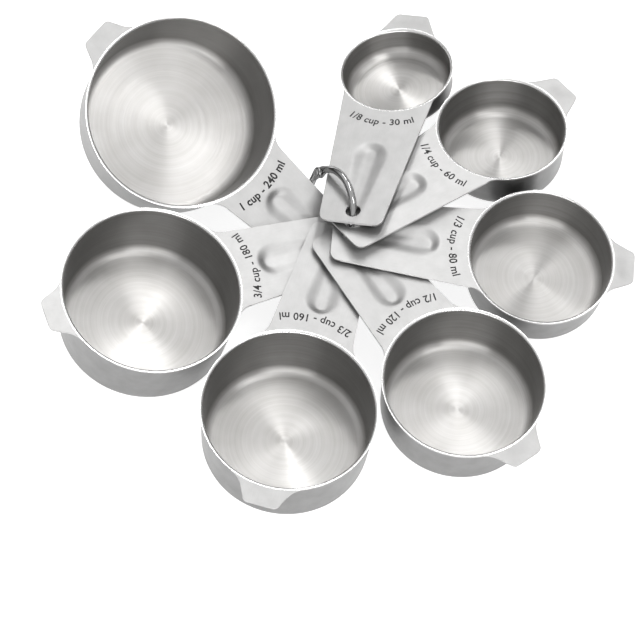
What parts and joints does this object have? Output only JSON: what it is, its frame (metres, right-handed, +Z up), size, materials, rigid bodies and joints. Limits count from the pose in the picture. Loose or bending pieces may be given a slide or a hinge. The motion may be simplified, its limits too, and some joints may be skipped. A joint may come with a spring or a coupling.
{
  "type": "measuring cup set",
  "caption": "Nesting steel measuring cups with flat handles and pouring tabs, fanned out on a hinged ring.",
  "frame": {"origin": "middle of the set's footprint, on the surface that the cups stand on", "axes": "+Z up, +X to the right and +Y away from a viewer who has the 1/3 cup on the right"},
  "size_m": [0.2814, 0.274, 0.0735],
  "materials": {
    "cup_steel": "brushed stainless steel, satin outside and spun inside the bowls",
    "ring_steel": "bright plated spring wire",
    "rivet_steel": "plain rivet"
  },
  "bodies": {
    "ring": {"ring_hoop": "ring_steel", "ring_rivet": "rivet_steel"},
    "gate": {"ring_gate": "ring_steel"},
    "eighth": {"eighth_cup": "cup_steel"},
    "quarter": {"quarter_cup": "cup_steel"},
    "third": {"third_cup": "cup_steel"},
    "half": {"half_cup": "cup_steel"},
    "two_thirds": {"two_thirds_cup": "cup_steel"},
    "three_quarter": {"three_quarter_cup": "cup_steel"},
    "full": {"full_cup": "cup_steel"}
  },
  "joints": [
    {"name": "gate_hinge", "type": "hinge", "parent": "ring", "child": "gate", "pos_m": [-0.01045, 0.03815, 0.03415], "axis": [0.7943, 0.297, -0.5299], "range_deg": [0, 90]},
    {"name": "eighth_swing", "type": "hinge", "parent": "ring", "child": "eighth", "pos_m": [0.00564, 0.01302, 0.0442], "axis": [0, 0, 1], "range_deg": [-1.6, 1]},
    {"name": "quarter_swing", "type": "hinge", "parent": "ring", "child": "quarter", "pos_m": [0.00503, 0.00888, 0.04096], "axis": [0, 0, 1], "range_deg": [-1.4, 1.6]},
    {"name": "third_swing", "type": "hinge", "parent": "ring", "child": "third", "pos_m": [0.00341, 0.00557, 0.03667], "axis": [0, 0, 1], "range_deg": [-1.8, 1.4]},
    {"name": "half_swing", "type": "hinge", "parent": "ring", "child": "half", "pos_m": [0.00145, 0.00396, 0.03282], "axis": [0, 0, 1], "range_deg": [-2.2, 1.8]},
    {"name": "two_thirds_swing", "type": "hinge", "parent": "ring", "child": "two_thirds", "pos_m": [-0.00059, 0.00343, 0.02947], "axis": [0, 0, 1], "range_deg": [-1.8, 2.2]},
    {"name": "three_quarter_swing", "type": "hinge", "parent": "ring", "child": "three_quarter", "pos_m": [-0.00304, 0.00378, 0.02599], "axis": [0, 0, 1], "range_deg": [-1.2, 1.8]},
    {"name": "full_swing", "type": "hinge", "parent": "ring", "child": "full", "pos_m": [-0.00808, 0.00711, 0.02031], "axis": [0, 0, 1], "range_deg": [-1, 1.4]}
  ]
}
